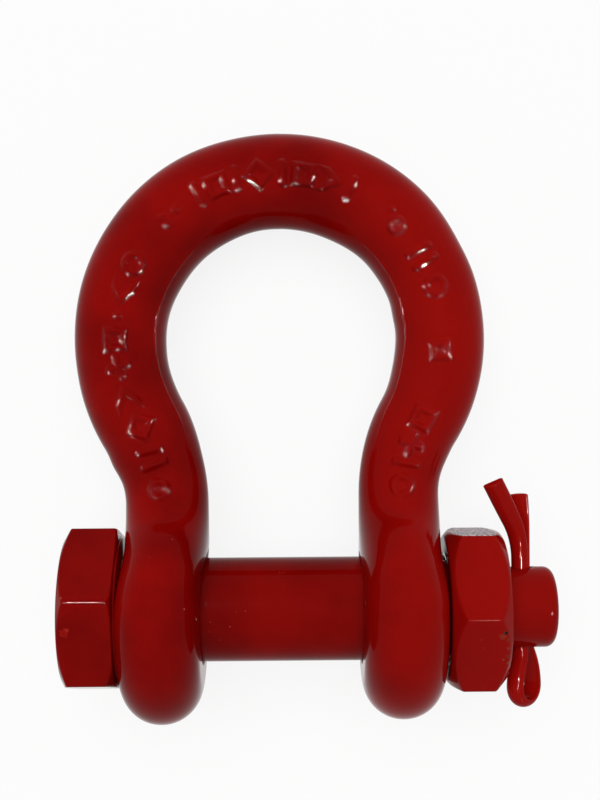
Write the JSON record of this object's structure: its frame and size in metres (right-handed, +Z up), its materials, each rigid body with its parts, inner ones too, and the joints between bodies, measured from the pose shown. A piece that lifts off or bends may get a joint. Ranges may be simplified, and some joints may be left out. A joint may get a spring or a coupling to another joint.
{
  "type": "bolt type anchor shackle",
  "caption": "Forged steel bow shackle with a hex bolt through its two ears, a nut and a split cotter pin, painted red.",
  "frame": {"origin": "middle of the part's box at the surface it lies on", "axes": "+X along the bolt from head to nut, +Y from the bolt towards the crown of the bow, +Z up out of the marked face; the bow leans 8.5 degrees down towards its crown, as it lies on both ears and crown"},
  "size_m": [0.1068, 0.1284, 0.0489],
  "materials": {
    "bow": "gloss red enamel on forged steel",
    "bolt": "gloss red enamel on forged steel",
    "nut": "gloss red enamel, rubbed to bare steel on one flat",
    "cotter_pin": "gloss red enamel on bent wire"
  },
  "bodies": {
    "bow": {"bow": "bow"},
    "bolt": {"bolt": "bolt", "cotter_pin": "cotter_pin"},
    "nut": {"nut": "nut"}
  },
  "joints": [
    {"name": "bolt_turn", "type": "hinge", "parent": "bow", "child": "bolt", "pos_m": [0, -0.03948, 0.02449], "axis": [1, 0, 0], "continuous": true},
    {"name": "nut_turn", "type": "hinge", "parent": "bolt", "child": "nut", "pos_m": [0, -0.03948, 0.02449], "axis": [1, 0, 0], "range_deg": [-76, 270]}
  ]
}
